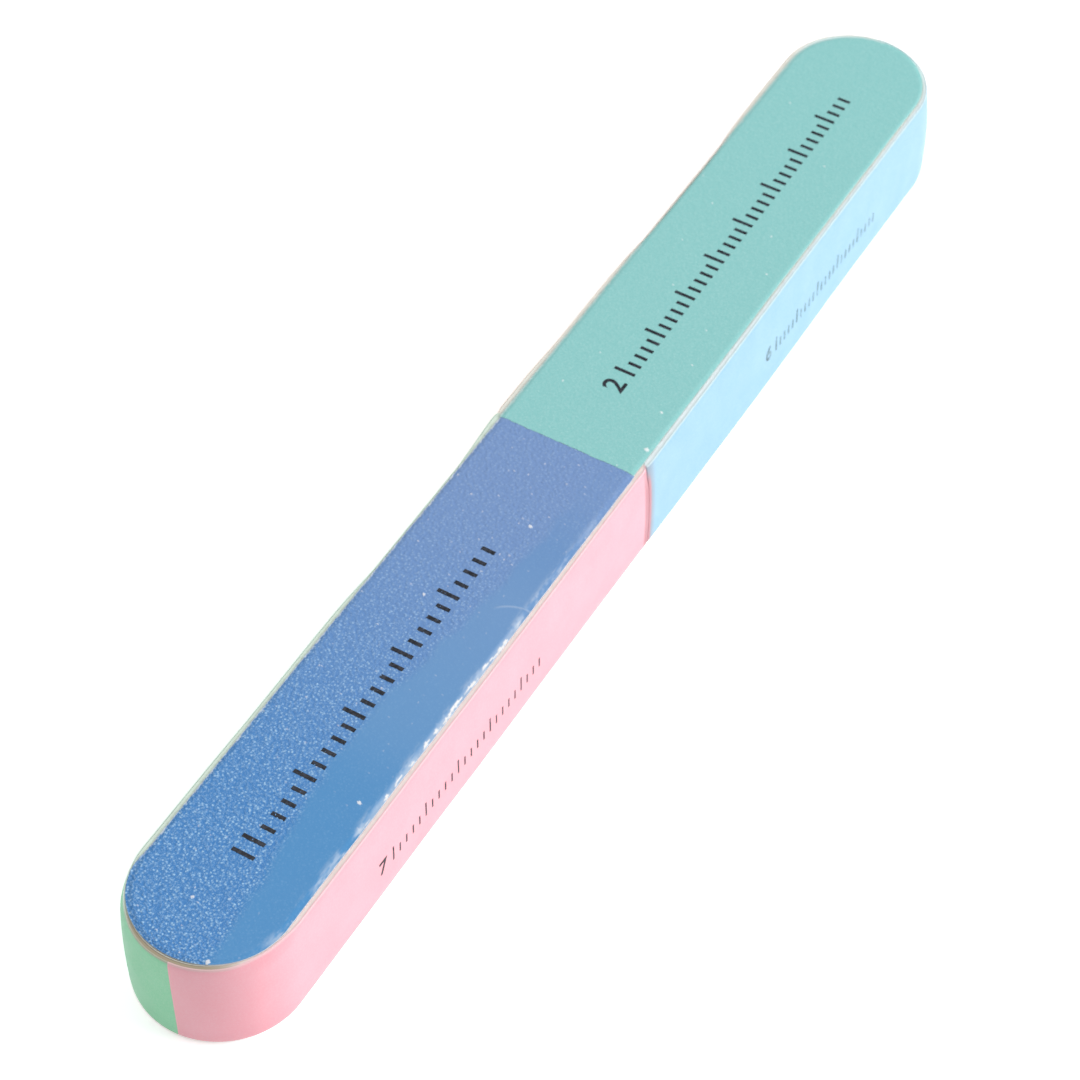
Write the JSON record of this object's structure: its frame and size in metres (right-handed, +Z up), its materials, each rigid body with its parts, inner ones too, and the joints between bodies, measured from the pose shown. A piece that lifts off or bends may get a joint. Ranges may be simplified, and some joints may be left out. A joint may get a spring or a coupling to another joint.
{
  "type": "nail buffer block",
  "caption": "Long round-ended nail buffer block with abrasive sheets on its flat faces and coloured buffing films wrapped round a cushioned edge.",
  "frame": {"origin": "centre of the underside, on the face it rests on", "axes": "+X along the length, from the tip with the pink and mint films to the tip with the light blue film; +Z up, out of the face with the coarse and medium sheets; -Y the side with the pink and light blue films"},
  "size_m": [0.18, 0.022, 0.015],
  "materials": {
    "coarse_grit": "matte coarse abrasive coating",
    "medium_grit": "matte medium abrasive coating",
    "fine_grit": "matte fine abrasive coating",
    "polishing_film": "smooth satin buffing film",
    "buffing_film": "smooth satin buffing film",
    "smoothing_film": "smooth satin buffing film",
    "refining_film": "smooth satin buffing film",
    "cushion_foam": "matte closed-cell foam",
    "core_plastic": "satin moulded plastic",
    "adhesive": "clear adhesive layer"
  },
  "bodies": {
    "root": {"coarse_grit_sheet": "coarse_grit", "medium_grit_sheet": "medium_grit", "fine_grit_sheet": "fine_grit", "polishing_band": "polishing_film", "buffing_band": "buffing_film", "smoothing_band": "smoothing_film", "refining_band": "refining_film", "near_edge_foam": "cushion_foam", "far_edge_foam": "cushion_foam", "upper_pad": "cushion_foam", "lower_pad": "cushion_foam", "core_shell_lower": "core_plastic", "core_shell_upper": "core_plastic", "near_edge_tape": "adhesive", "far_edge_tape": "adhesive", "upper_pad_tape": "adhesive", "lower_pad_tape": "adhesive", "coarse_sheet_tape": "adhesive", "medium_sheet_tape": "adhesive", "fine_sheet_tape": "adhesive"}
  },
  "joints": []
}
